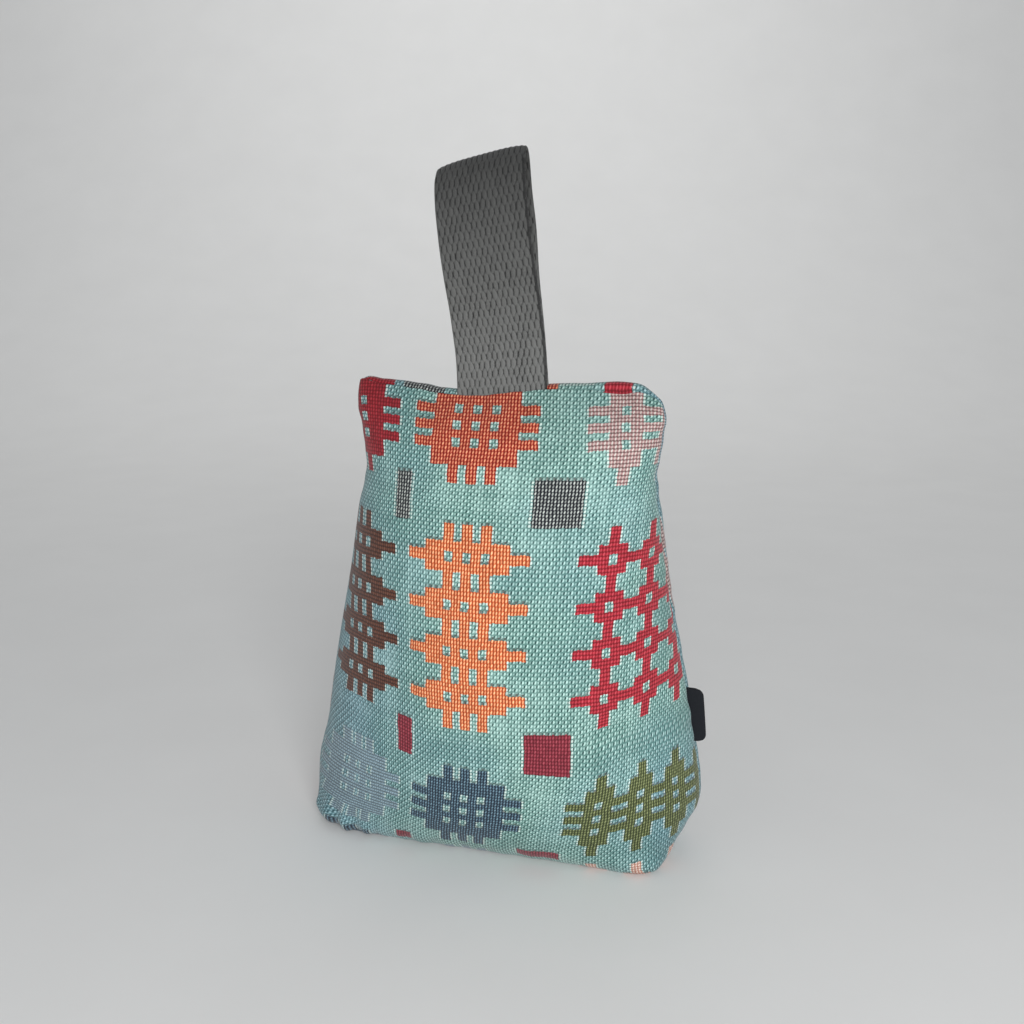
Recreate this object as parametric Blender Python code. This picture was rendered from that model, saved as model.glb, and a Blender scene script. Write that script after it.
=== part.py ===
"""Fabric doorstop: a filled bag of woven cloth, a webbing handle in its top seam and a label.

The front faces -Y, the bag stands on z = 0 and +X is to the right seen from the front.
All sizes are in millimetres and are scaled to metres where the meshes are made.
"""

import math
from collections import namedtuple

import bmesh
import bpy
from mathutils import Vector

MM = 0.001
COLLECTION = "fabric_doorstop"
PIECE_GAP = 0.3

# The filled bag, one row for each level section. Front and back are the depths of the cloth
# before and behind the side seams. A square of 2 is an ellipse, less pinches the side
# seams and more squares the corners of the base. Shift is how far the section lies to the
# right, and forward how far the bag's top leans over its front.
Section = namedtuple("Section", "height half_width front back square shift forward")
BAG_SECTIONS = (
    Section(0.0, 72.0, 24.5, 29.0, 9.0, -3.6, 0.0),
    Section(1.2, 75.0, 27.0, 31.5, 7.0, -3.7, 0.0),
    Section(4.0, 78.4, 31.0, 35.0, 4.6, -3.7, 0.0),
    Section(10.0, 82.2, 37.0, 40.0, 2.6, -3.2, 0.0),
    Section(25.0, 87.0, 45.0, 46.0, 1.9, -1.3, 0.0),
    Section(48.0, 82.7, 49.5, 49.0, 1.8, 1.1, 0.0),
    Section(80.0, 76.2, 50.5, 49.5, 1.85, 1.2, 0.0),
    Section(115.0, 69.9, 46.0, 46.5, 2.0, 1.7, 1.0),
    Section(145.0, 65.0, 36.0, 39.5, 2.15, 2.4, 3.0),
    Section(161.0, 61.6, 28.5, 31.5, 2.2, 3.5, 4.6),
    Section(175.0, 63.4, 19.3, 21.5, 2.3, 4.0, 6.0),
    Section(184.0, 65.0, 12.8, 15.0, 2.3, 3.7, 6.8),
    Section(190.0, 65.2, 8.4, 10.8, 2.3, 3.2, 7.0),
    Section(194.5, 64.0, 5.0, 7.2, 2.3, 3.0, 7.0),
    Section(197.6, 60.0, 2.0, 3.2, 2.2, 3.0, 7.0),
)
BAG_POINTS_ROUND = 80
BAG_RING_STEP = 5.2
# The top seam dips where the handle is caught in it.
DIP_CENTRE = -11.0
DIP_HALF_WIDTH = 28.0
DIP_DEPTH = 4.6
DIP_STARTS_AT = 165.0

# The handle, one row for each place along the doubled webbing: up the front, over the fold
# and down the back. Tilt is how far the webbing's right edge is higher than its left.
Station = namedtuple("Station", "side depth height tilt")
WEBBING_WIDTH = 38.0
WEBBING_THICKNESS = 2.0
HANDLE_STATIONS = (
    Station(2.6, -8.35, 197.2, 3.6),
    Station(0.9, -8.7, 209.6, 4.2),
    Station(-1.2, -10.2, 225.3, 5.0),
    Station(-3.8, -13.2, 241.0, 6.0),
    Station(-5.4, -14.6, 256.8, 7.0),
    Station(-6.3, -13.4, 270.5, 7.8),
    Station(-6.5, -10.9, 280.4, 8.2),
    Station(-6.5, -7.0, 284.5, 8.4),
    Station(-6.5, -3.1, 280.4, 8.2),
    Station(-6.3, -0.6, 270.5, 7.8),
    Station(-5.4, 0.6, 256.8, 7.0),
    Station(-3.8, -0.8, 241.0, 6.0),
    Station(-1.2, -3.8, 225.3, 5.0),
    Station(0.9, -5.3, 209.6, 4.2),
    Station(2.6, -5.65, 197.2, 3.6),
)
HANDLE_SECTIONS = 84

# The label: a folded tab that stands out of the right side seam.
LABEL_LOW = 50.5
LABEL_HIGH = 73.0
LABEL_OUT = 6.0
LABEL_THICKNESS = 1.6
LABEL_CORNER = 3.0
LABEL_ROWS = 14

TEAL = (0.19, 0.37, 0.33, 1.0)
WEBBING_GREY = (0.13, 0.13, 0.125, 1.0)
CHARCOAL = (0.017, 0.018, 0.022, 1.0)


def clear_objects():
    for old in list(bpy.data.objects):
        bpy.data.objects.remove(old, do_unlink=True)


def slopes(at, values):
    """Tangents of a smooth curve through the values that never overshoots them."""
    steps = [(b - a) / (d - c) for a, b, c, d in zip(values, values[1:], at, at[1:])]
    inner = []
    for before, after in zip(steps, steps[1:]):
        level = before * after <= 0
        inner.append(0.0 if level else 2 * before * after / (before + after))
    return [steps[0]] + inner + [steps[-1]]


def smooth(at, values, here):
    """The value at a place on the smooth curve through a table's column."""
    tangents = slopes(at, values)
    low = 0
    while low < len(at) - 2 and here > at[low + 1]:
        low += 1
    span = at[low + 1] - at[low]
    t = (here - at[low]) / span
    return (
        values[low] * (1 + 2 * t) * (1 - t) ** 2
        + tangents[low] * span * t * (1 - t) ** 2
        + values[low + 1] * t * t * (3 - 2 * t)
        + tangents[low + 1] * span * t * t * (t - 1)
    )


def bag_section(height):
    heights = [row.height for row in BAG_SECTIONS]
    columns = zip(*(row[1:] for row in BAG_SECTIONS))
    return Section(height, *(smooth(heights, column, height) for column in columns))


def power(value, exponent):
    return math.copysign(abs(value) ** exponent, value)


def dip_at(x, height):
    """How far the top seam sinks at x, fading out down the bag."""
    top = BAG_SECTIONS[-1].height
    rise = max(0.0, (height - DIP_STARTS_AT) / (top - DIP_STARTS_AT))
    return DIP_DEPTH * rise * rise * math.exp(-(((x - DIP_CENTRE) / DIP_HALF_WIDTH) ** 2))


def bag_ring(height):
    """The points round one level section, from the middle of the front to the right."""
    row = bag_section(height)
    exponent = 2 / row.square
    points = []
    for k in range(BAG_POINTS_ROUND):
        angle = 2 * math.pi * k / BAG_POINTS_ROUND
        across = power(math.sin(angle), exponent)
        along = power(math.cos(angle), exponent)
        x = row.shift + row.half_width * across
        y = -row.forward - along * (row.front if along > 0 else row.back)
        points.append(Vector((x, y, height - dip_at(x, height))))
    return points


def bag_heights():
    """Levels of the rings: the table's own close to the base and the crest, even between."""
    table = [row.height for row in BAG_SECTIONS]
    close = [h for h in table if h <= 10 or h >= 184]
    low, high = 10.0, 184.0
    count = round((high - low) / BAG_RING_STEP)
    even = [low + (high - low) * i / count for i in range(1, count)]
    halfway = [2.4, 7.0, 187.0, 192.4, 196.4]
    return sorted(close + even + halfway)


def close_end(bm, ring):
    """Closes an end ring with strips that run from its front half to its back half."""
    count = len(ring)
    half = count // 2
    for k in range(-count // 4, count // 4):
        corners = [ring[k], ring[k + 1], ring[(half - k - 1) % count], ring[(half - k) % count]]
        unique = list(dict.fromkeys(corners))
        bm.faces.new(unique)


def join_rings(bm, rings):
    for lower, upper in zip(rings, rings[1:]):
        count = len(lower)
        for k in range(count):
            after = (k + 1) % count
            bm.faces.new((lower[k], lower[after], upper[after], upper[k]))


def add_object(name, bm, material, collection):
    bmesh.ops.recalc_face_normals(bm, faces=bm.faces)
    for face in bm.faces:
        face.smooth = True
    mesh = bpy.data.meshes.new(name)
    bm.to_mesh(mesh)
    bm.free()
    mesh.materials.append(material)
    piece = bpy.data.objects.new(name, mesh)
    collection.objects.link(piece)
    return piece


def add_material(name, colour, roughness):
    material = bpy.data.materials.new(name)
    material.use_nodes = True
    shader = material.node_tree.nodes["Principled BSDF"]
    shader.inputs["Base Color"].default_value = colour
    shader.inputs["Roughness"].default_value = roughness
    shader.inputs["Metallic"].default_value = 0.0
    return material


def make_bag(collection):
    bm = bmesh.new()
    rings = [[bm.verts.new(point * MM) for point in bag_ring(h)] for h in bag_heights()]
    join_rings(bm, rings)
    close_end(bm, rings[0])
    close_end(bm, rings[-1])
    add_object("bag", bm, add_material("tapestry_cloth", TEAL, 0.9), collection)


def handle_station(place):
    """The handle's table read at a place counted in its rows."""
    rows = range(len(HANDLE_STATIONS))
    columns = zip(*HANDLE_STATIONS)
    return Station(*(smooth(rows, column, place) for column in columns))


def make_handle(collection):
    """Sweeps a flat webbing section up the front, over the fold and down the back."""
    bm = bmesh.new()
    last = len(HANDLE_STATIONS) - 1
    places = [last * i / (HANDLE_SECTIONS - 1) for i in range(HANDLE_SECTIONS)]
    rows = [handle_station(place) for place in places]
    middles = [Vector((row.side, row.depth, row.height)) for row in rows]
    rings = []
    for i, row in enumerate(rows):
        ahead = middles[min(i + 1, len(rows) - 1)] - middles[max(i - 1, 0)]
        across = Vector((WEBBING_WIDTH, 0.0, row.tilt)).normalized()
        outward = across.cross(ahead).normalized()
        half_width = across * WEBBING_WIDTH / 2
        half_thick = outward * WEBBING_THICKNESS / 2
        corners = (
            middles[i] - half_width - half_thick,
            middles[i] + half_width - half_thick,
            middles[i] + half_width + half_thick,
            middles[i] - half_width + half_thick,
        )
        rings.append([bm.verts.new(corner * MM) for corner in corners])
    join_rings(bm, rings)
    bm.faces.new(rings[0])
    bm.faces.new(rings[-1])
    add_object("handle", bm, add_material("webbing", WEBBING_GREY, 0.85), collection)


def side_seam(height):
    row = bag_section(height)
    return row.shift + row.half_width


def make_label(collection):
    """Lofts the folded tab up the side seam, its two outer corners rounded."""
    bm = bmesh.new()
    rings = []
    for i in range(LABEL_ROWS):
        t = i / (LABEL_ROWS - 1)
        height = LABEL_LOW + (LABEL_HIGH - LABEL_LOW) * (1 - math.cos(math.pi * t)) / 2
        from_end = min(height - LABEL_LOW, LABEL_HIGH - height)
        inset = max(0.0, LABEL_CORNER - from_end)
        cut = LABEL_CORNER - math.sqrt(LABEL_CORNER**2 - inset**2)
        inner = side_seam(height) + PIECE_GAP
        outer = side_seam(height) + LABEL_OUT - cut
        half = LABEL_THICKNESS / 2
        corners = ((inner, -half), (outer, -half), (outer, half), (inner, half))
        rings.append([bm.verts.new(Vector((x, y, height)) * MM) for x, y in corners])
    join_rings(bm, rings)
    bm.faces.new(rings[0])
    bm.faces.new(rings[-1])
    add_object("label", bm, add_material("label_tape", CHARCOAL, 0.8), collection)


def main():
    clear_objects()
    collection = bpy.data.collections.new(COLLECTION)
    bpy.context.scene.collection.children.link(collection)
    make_bag(collection)
    make_handle(collection)
    make_label(collection)


main()
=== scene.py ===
"""Fabric doorstop: the looks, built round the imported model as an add-on that runs as a script."""

import math
from collections import namedtuple

import bpy
import numpy as np
from bpy.props import FloatProperty, FloatVectorProperty, PointerProperty
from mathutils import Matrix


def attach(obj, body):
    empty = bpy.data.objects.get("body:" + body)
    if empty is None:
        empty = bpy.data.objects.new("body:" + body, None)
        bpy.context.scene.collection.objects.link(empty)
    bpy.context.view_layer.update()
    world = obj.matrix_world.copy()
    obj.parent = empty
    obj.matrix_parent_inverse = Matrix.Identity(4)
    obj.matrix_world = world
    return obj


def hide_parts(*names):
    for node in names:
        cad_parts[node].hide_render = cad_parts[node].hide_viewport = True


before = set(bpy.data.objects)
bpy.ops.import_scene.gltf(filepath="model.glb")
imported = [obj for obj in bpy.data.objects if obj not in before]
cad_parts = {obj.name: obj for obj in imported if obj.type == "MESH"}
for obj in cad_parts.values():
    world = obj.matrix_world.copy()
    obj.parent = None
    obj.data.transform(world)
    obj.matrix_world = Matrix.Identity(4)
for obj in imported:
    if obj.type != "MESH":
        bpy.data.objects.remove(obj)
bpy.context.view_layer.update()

bl_info = {
    "name": "Fabric doorstop",
    "version": (1, 0, 0),
    "blender": (4, 5, 0),
    "location": "3D View > Sidebar > Doorstop",
    "description": "Builds a filled tapestry cloth doorstop with a webbing handle and a plain label",
    "category": "Object",
}

MM = 0.001
BODY = "root"


# ---- Smooth tables ----


def slopes(at, values):
    """Tangents of a smooth curve through the values that never overshoots them."""
    steps = np.diff(values, axis=0) / np.diff(at)[:, None]
    before, after = steps[:-1], steps[1:]
    level = before * after <= 0
    total = np.where(level, 1.0, before + after)
    inner = np.where(level, 0.0, 2 * before * after / total)
    return np.concatenate([steps[:1], inner, steps[-1:]])


def smooth(table, here):
    """The rows of a table read at the places here, which its first column counts."""
    table = np.array(table, float)
    at, values = table[:, 0], table[:, 1:]
    tangents = slopes(at, values)
    here = np.clip(np.asarray(here, float), at[0], at[-1])
    low = np.clip(np.searchsorted(at, here, side="right") - 1, 0, len(at) - 2)
    span = (at[low + 1] - at[low])[:, None]
    t = (here - at[low])[:, None] / span
    return (
        values[low] * (1 + 2 * t) * (1 - t) ** 2
        + tangents[low] * span * t * (1 - t) ** 2
        + values[low + 1] * t * t * (3 - 2 * t)
        + tangents[low + 1] * span * t * t * (t - 1)
    )


def fade(value, low, high):
    """From 0 at low to 1 at high, with soft ends."""
    t = np.clip((value - low) / (high - low), 0, 1)
    return t * t * (3 - 2 * t)


def bump(value, centre, half_width):
    """A soft bell, 1 at its centre."""
    return np.exp(-(((value - centre) / half_width) ** 2))


def waves(seed, *coordinates):
    """Smooth irregular waves between about -1 and 1, the same ones on each run."""
    draw = np.random.default_rng(seed)
    total = 0.0
    for _ in range(6):
        turn = draw.uniform(0, 2 * math.pi)
        lean = draw.uniform(-1, 1, len(coordinates))
        total = total + np.sin(turn + 2 * math.pi * sum(a * c for a, c in zip(lean, coordinates)))
    return total / 3


# ---- The filled bag, in millimetres ----

# height, half width, front depth, back depth, squareness, shift to the right, lean forward
BAG_SECTIONS = (
    (0.0, 72.0, 24.5, 29.0, 9.0, -3.6, 0.0),
    (1.2, 75.0, 27.0, 31.5, 7.0, -3.7, 0.0),
    (4.0, 78.4, 31.0, 35.0, 4.6, -3.7, 0.0),
    (10.0, 82.2, 37.0, 40.0, 2.6, -3.2, 0.0),
    (25.0, 86.5, 45.0, 46.0, 1.9, -0.8, 0.0),
    (48.0, 82.7, 49.5, 49.0, 1.8, 1.1, 0.0),
    (80.0, 76.2, 50.5, 49.5, 1.85, 1.2, 0.0),
    (115.0, 69.9, 46.0, 46.5, 2.0, 1.7, 1.0),
    (145.0, 65.0, 36.0, 39.5, 2.15, 2.4, 3.0),
    (161.0, 61.6, 28.5, 31.5, 2.2, 3.5, 4.6),
    (175.0, 63.4, 19.3, 21.5, 2.3, 4.0, 6.0),
    (184.0, 65.0, 12.8, 15.0, 2.3, 3.7, 6.8),
)
# Above the last section: the front cloth ends in a lip, the seam is a groove behind it and
# the back cloth rolls over the crest.
# place, half width, front depth, front height, back depth, back height, side height, shift
BAG_CREST = (
    (0.0, 65.0, 12.8, 184.0, 15.0, 184.0, 184.0, 3.7),
    (1.0, 65.2, 9.6, 189.0, 12.6, 189.4, 188.6, 3.4),
    (2.0, 64.9, 6.6, 193.7, 10.4, 193.8, 192.6, 3.1),
    (2.6, 64.3, 5.4, 196.4, 9.0, 196.0, 195.0, 3.0),
    (3.0, 63.9, 5.0, 196.9, 8.0, 196.9, 195.5, 3.0),
    (3.4, 63.4, 4.5, 195.2, 7.0, 197.5, 195.5, 3.0),
    (3.8, 62.9, 3.9, 196.2, 5.8, 197.9, 196.0, 3.0),
    (4.4, 62.0, 2.4, 197.8, 3.9, 198.3, 196.4, 3.0),
    (5.0, 60.5, 0.6, 198.5, 1.4, 198.6, 196.8, 3.0),
)
CREST_START = 184.0
CREST_LEAN = 7.0
SEAM_PLACE = 3.4
# The top dips under the handle, drops at its right end and rises at its left one.
DIP_CENTRE = -12.0
DIP_HALF_WIDTH = 26.0
DIP_DEPTH = 4.2
RIGHT_DROP = 4.6
LEFT_RISE = 2.2
# Near the right end the front sinks a little more and the back cloth stands up behind it.
EAR_CENTRE = 50.0
EAR_HALF_WIDTH = 9.0
EAR_DROP = 1.8
EAR_RISE = 2.7
# How far the base's front corners are moved to the right, back and up.
RIGHT_CORNER = np.array([1.4, -3.0, 0.0])
LEFT_CORNER = np.array([-2.6, 1.2, 1.6])
# How deep the small shapes of the cloth are.
SIDE_SEAM = 0.9
SIDE_PUCKER = 0.28
BASE_WAVES = 0.45
BASE_GATHER = 0.9
GATHER_STEP = 9.5
TOP_WAVES = 0.3
SWELL = 0.55


class DoorstopSizes(bpy.types.PropertyGroup):
    """Sizes that a maker would change"""

    cell_width: FloatProperty(
        name="Cell width",
        description="Width of one step of the woven pattern on the back",
        default=3.8 * MM,
        unit="LENGTH",
    )
    cell_height: FloatProperty(
        name="Cell height",
        description="Height of one step of the woven pattern on the base and the back",
        default=3.71 * MM,
        unit="LENGTH",
    )
    webbing_width: FloatProperty(
        name="Webbing width",
        description="Width of the handle's webbing",
        default=38 * MM,
        unit="LENGTH",
    )
    webbing_thickness: FloatProperty(
        name="Webbing thickness",
        description="Thickness of the handle's webbing",
        default=1.9 * MM,
        unit="LENGTH",
    )
    label_out: FloatProperty(
        name="Label length",
        description="How far the folded label stands out of the side seam",
        default=5.4 * MM,
        unit="LENGTH",
    )


# What the colour properties share.
RGB = {"size": 3, "min": 0, "max": 1}


class DoorstopColours(bpy.types.PropertyGroup):
    """Colours that a maker would change"""

    ground_pale: FloatVectorProperty(
        name="Pale ground yarn",
        description="The light yarn of the ground",
        default=(0.46, 0.68, 0.62),
        subtype="COLOR",
        **RGB,
    )
    ground_middle: FloatVectorProperty(
        name="Middle ground yarn",
        description="The ground's yarn where it lies lower",
        default=(0.1, 0.215, 0.19),
        subtype="COLOR",
        **RGB,
    )
    ground_dark: FloatVectorProperty(
        name="Dark ground yarn",
        description="The dark yarn of the ground",
        default=(0.02, 0.065, 0.06),
        subtype="COLOR",
        **RGB,
    )
    webbing: FloatVectorProperty(
        name="Webbing",
        description="The handle's grey",
        default=(0.13, 0.131, 0.126),
        subtype="COLOR",
        **RGB,
    )
    label: FloatVectorProperty(
        name="Label tape",
        description="The label's charcoal",
        default=(0.009, 0.01, 0.0125),
        subtype="COLOR",
        **RGB,
    )


# ---- The woven pattern ----

# Along both ways of the cloth the pattern repeats two three-bar blocks with a narrow gap
# between them, and one chain block with a wide gap on each side. All are counted in cells.
REPEAT = 60
BAR_BLOCK = 13
SECOND_BLOCK = 15
CHAIN_START = 33
CHAIN_BLOCK = 22
# Where the repeat starts on the front, across and down.
ACROSS_START = -17
DOWN_START = -33
ENDS_PER_CELL = 3
PICKS_PER_CELL = 2.3
# How far the coloured yarns spread past the cells they fill, and how far the ground does
# round the holes in a block.
LINE_SPREAD = 0.07
HOLE_ACROSS = -0.06
HOLE_DOWN = 0.04
# How far the squares under the second block start above their gap.
SQUARE_EARLY = 0.75

# How the cloth lies on the front. Down is in millimetres from the top seam, row is the
# pattern's, middle is how far right of the bag's middle line its fifth column lies, and cell
# is the width that the filling stretches a cell to.
# down, row, middle, cell
CLOTH_LAY = (
    (0.0, -16.7, -7.9, 4.0),
    (12.0, -13.5, -7.3, 4.0),
    (27.0, -9.5, -6.5, 4.0),
    (43.8, -5.0, -4.9, 3.97),
    (60.3, 0.0, -3.3, 3.9),
    (92.0, 8.5, -1.1, 3.79),
    (128.8, 18.5, -0.1, 3.67),
    (142.0, 22.0, -0.2, 3.66),
    (158.8, 27.0, -0.5, 3.67),
    (172.9, 31.5, -0.9, 3.62),
    (186.2, 35.5, -1.3, 3.6),
    (200.4, 40.0, -2.0, 3.58),
    (213.6, 44.0, -2.4, 3.58),
)
LAY_COLUMN = 5
# How many cells further left the pattern lies on the back cloth.
BACK_COLUMNS = 7
# The cloth is pulled up towards the low right corner: how much for each millimetre past here.
CORNER_PULL = 0.185
CORNER_START = 50
# Where the filling pulls the front's cloth up or lets it down. Each row says how far, in
# millimetres, where the pull begins and is full across the bag, and the middle and half height
# of the stretch of cloth that it acts on.
# up, begins, full, middle, half height
CLOTH_PULLS = (
    (2.8, -18, -36, 158, 36),
    (1.4, 26, 56, 12, 36),
    (1.4, -26, -56, 12, 36),
    (2.6, 40, 58, 141, 7),
    (1.0, -40, -60, 141, 7),
    (2.2, 62, 90, 126, 18),
    (-1.2, 62, 90, 156, 10),
)
# Where it sags above the base.
# sag, middle across, half width, middle down, half height
CLOTH_SAGS = (
    (2.1, 42, 20, 172, 17),
    (1.4, 50, 9, 160, 9),
)
# How far it is drawn right along the top, towards the handle, and left at the low right corner.
HANDLE_DRAG = 1.4
CORNER_DRAG = 4.5
# By what part the cells are wider past these places to the left and the right of the middle.
LEFT_SPREAD = 0.35
LEFT_SPREAD_START = 62
RIGHT_SPREAD = 0.02
RIGHT_SPREAD_START = 36

Yarn = namedtuple("Yarn", "red green blue fleck_red fleck_green fleck_blue upright level fleck")
# Main colour and fleck colour as seen, then how strong the upright ribs, the level ribs and
# the flecks are.
YARNS = {
    "cherry": Yarn(140, 18, 32, 205, 80, 86, 0.35, 0.4, 0.35),
    "flame": Yarn(182, 47, 31, 242, 168, 128, 0.65, 0.25, 0.85),
    "rose": Yarn(180, 138, 136, 212, 206, 198, 0.1, 0.95, 0.85),
    "black": Yarn(30, 36, 44, 200, 205, 198, 0.6, 0.2, 0.8),
    "brown": Yarn(88, 50, 37, 140, 92, 70, 0.15, 0.8, 0.4),
    "orange": Yarn(218, 98, 50, 255, 198, 148, 0.75, 0.1, 0.85),
    "crimson": Yarn(168, 30, 46, 222, 98, 108, 0.25, 0.65, 0.45),
    "burgundy": Yarn(130, 34, 50, 188, 98, 108, 0.45, 0.4, 0.45),
    "lilac": Yarn(158, 184, 194, 84, 104, 120, 0.1, 1.0, 0.85),
    "navy": Yarn(42, 62, 82, 125, 158, 172, 0.65, 0.3, 0.8),
    "olive": Yarn(74, 84, 47, 156, 164, 114, 0.7, 0.1, 0.7),
    "salmon": Yarn(205, 150, 130, 240, 225, 215, 0.2, 0.5, 0.9),
}
YARN_NAMES = list(YARNS)

# Where each row of blocks begins down the cloth, and its colours from left to right.
BLOCK_ROWS = (
    (-60.0, ("olive", "cherry", "flame", "rose", "brown")),
    (-2.5, ("lilac", "brown", "orange", "crimson", "navy")),
    (24.5, ("brown", "lilac", "navy", "olive", "orange")),
    (41.0, ("olive", "navy", "lilac", "salmon", "lilac")),
    (57.5, ("orange", "crimson", "brown", "navy", "rose")),
    (84.5, ("navy", "olive", "orange", "rose", "brown")),
    (101.0, ("cherry", "rose", "cherry", "lilac", "flame")),
)
# Where the columns of blocks part, across the cloth.
BLOCK_COLUMNS = (-19.5, -3.0, 13.5, 40.5)
# Middle of each gap down the cloth, half its height, and the squares' colours there.
SQUARE_ROWS = (
    (-2.9, 3.4, "black"),
    (24.5, 3.0, "burgundy"),
    (41.0, 1.5, "burgundy"),
    (57.5, 3.0, "black"),
    (84.5, 3.0, "cherry"),
    (101.0, 1.5, "black"),
)
# Middle of each gap across the cloth and half its width.
SQUARE_COLUMNS = ((-19.5, 3.0), (-3.0, 1.5), (13.5, 3.0), (40.5, 3.0))


def linear(level):
    """A colour level seen on a screen, from 0 to 255, as light."""
    level = np.asarray(level, float) / 255
    return np.where(level <= 0.04045, level / 12.92, ((level + 0.055) / 1.055) ** 2.4)


def block_yarns(across, down):
    """The yarn of the block or square round each place of the cloth, as an index."""
    rows = np.array([[YARN_NAMES.index(name) for name in row[1]] for row in BLOCK_ROWS])
    row = np.searchsorted([r[0] for r in BLOCK_ROWS], down, side="right") - 1
    column = np.searchsorted(BLOCK_COLUMNS, across, side="right")
    found = rows[np.clip(row, 0, None), column]
    for middle, half, yarn in SQUARE_ROWS:
        for centre, width in SQUARE_COLUMNS:
            inside = (abs(down - middle) < half) & (abs(across - centre) < width)
            found = np.where(inside, YARN_NAMES.index(yarn), found)
    return found


# ---- Meshes from grids of points ----


def grid_faces(rows, columns, first=0, flip=False):
    """Quads of a grid whose points are numbered row by row."""
    at = first + np.arange(rows * columns).reshape(rows, columns)
    corners = [at[:-1, :-1], at[:-1, 1:], at[1:, 1:], at[1:, :-1]]
    if flip:
        corners.reverse()
    return np.stack(corners, -1).reshape(-1, 4)


def add_piece(name, points, faces, coordinates=None, map_name="cloth"):
    """A mesh object of those points, in metres, with a UV map from a value for each point."""
    mesh = bpy.data.meshes.new(name)
    mesh.from_pydata(points.tolist(), [], faces.tolist())
    if coordinates is not None:
        layer = mesh.uv_layers.new(name=map_name)
        order = np.array([loop.vertex_index for loop in mesh.loops])
        layer.uv.foreach_set("vector", coordinates[order].astype(np.float32).ravel())
    piece = bpy.data.objects.new(name, mesh)
    bpy.context.scene.collection.objects.link(piece)
    return piece


def weld(piece, distance=0.01 * MM):
    """Joins the edges where grids meet and points all faces outwards, with the operators."""
    bpy.ops.object.select_all(action="DESELECT")
    bpy.context.view_layer.objects.active = piece
    piece.select_set(True)
    bpy.ops.object.mode_set(mode="EDIT")
    bpy.ops.mesh.select_all(action="SELECT")
    bpy.ops.mesh.remove_doubles(threshold=distance)
    bpy.ops.mesh.normals_make_consistent(inside=False)
    bpy.ops.object.mode_set(mode="OBJECT")
    bpy.ops.object.shade_smooth()
    piece.select_set(False)


# ---- Bag geometry ----

# Points along each half of a ring, and rings in each part.
COLUMNS = 211
BODY_ROWS = 165
CREST_ROWS = 26
BASE_ROWS = 44
# Points that measure each half ring before it is cut into even steps.
RING_SAMPLES = 721


def section_rows():
    """Each ring's sizes from the base up: half width, depths, heights, squareness, shift, lean."""
    # The rings lie closer together near the base.
    t = np.linspace(0, 1, BODY_ROWS)
    heights = CREST_START * (0.86 * t + 0.14 * t**3) * fade(t, -0.08, 0.1) ** 0.35
    heights[0] = 0.0
    half_width, front, back, square, shift, lean = smooth(BAG_SECTIONS, heights).T
    rows = [half_width, front, heights, back, heights, heights, square, shift, lean]
    crest = smooth(BAG_CREST, np.linspace(0, 5, CREST_ROWS + 1)[1:])
    same = np.ones(len(crest))
    crest_rows = [*crest.T[:6], same * square[-1], crest.T[6], same * CREST_LEAN]
    return [np.concatenate(pair) for pair in zip(rows, crest_rows)]


def half_ring(half_width, depth, side_height, height, square, shift, lean, sign):
    """Points of half of each ring, even along the cloth from the left seam to the right one."""
    angle = np.linspace(-math.pi / 2, math.pi / 2, RING_SAMPLES)
    exponent = 2 / square[:, None]
    sine, cosine = np.sin(angle)[None], np.cos(angle)[None]
    x = shift[:, None] + half_width[:, None] * np.sign(sine) * abs(sine) ** exponent
    y = sign * depth[:, None] * cosine.clip(0, 1) ** exponent - lean[:, None]
    blend = fade(cosine, 0.0, 0.6)
    z = side_height[:, None] + (height - side_height)[:, None] * blend
    points = np.stack([x, y, np.broadcast_to(z, x.shape)], -1)
    steps = np.linalg.norm(np.diff(points, axis=1), axis=2)
    along = np.concatenate([np.zeros((len(x), 1)), np.cumsum(steps, 1)], 1)
    even, lengths = [], []
    for ring, run in zip(points, along):
        places = np.linspace(0, run[-1], COLUMNS)
        even.append(np.stack([np.interp(places, run, ring[:, k]) for k in range(3)], 1))
        lengths.append(places - run[-1] / 2)
    return np.array(even), np.array(lengths)


def top_drop(points):
    """How far each point sinks at the handle and the right corner, and rises at the left one."""
    x, rise = points[..., 0], fade(points[..., 2], 178, 197)
    dip = DIP_DEPTH * bump(x, DIP_CENTRE, DIP_HALF_WIDTH)
    ear = EAR_DROP * bump(x, EAR_CENTRE, EAR_HALF_WIDTH)
    return rise * (dip + ear + RIGHT_DROP * fade(x, 57, 70) - LEFT_RISE * fade(-x, 50, 60))


def ear_lift(points):
    """How far the back cloth stands up at the right corner."""
    rise = fade(points[..., 2], 184, 197)
    return EAR_RISE * rise * bump(points[..., 0], EAR_CENTRE, EAR_HALF_WIDTH)


def stand(points):
    """Draws the right front corner of the base forward and scrunches the left one up a little."""
    x, y, z = np.moveaxis(points, -1, 0)
    low, fore = fade(-z, -26, -2), fade(-y, 5, 24)
    right, left = fade(x, 38, 68) * low * fore, fade(-x, 58, 76) * low * fore
    return points + right[..., None] * RIGHT_CORNER + left[..., None] * LEFT_CORNER


def normals_of(points):
    """Unit normals of a grid of points."""
    along = np.gradient(points, axis=1)
    up = np.gradient(points, axis=0)
    normal = np.cross(along, up)
    return normal / np.maximum(np.linalg.norm(normal, axis=2, keepdims=True), 1e-9)


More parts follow.
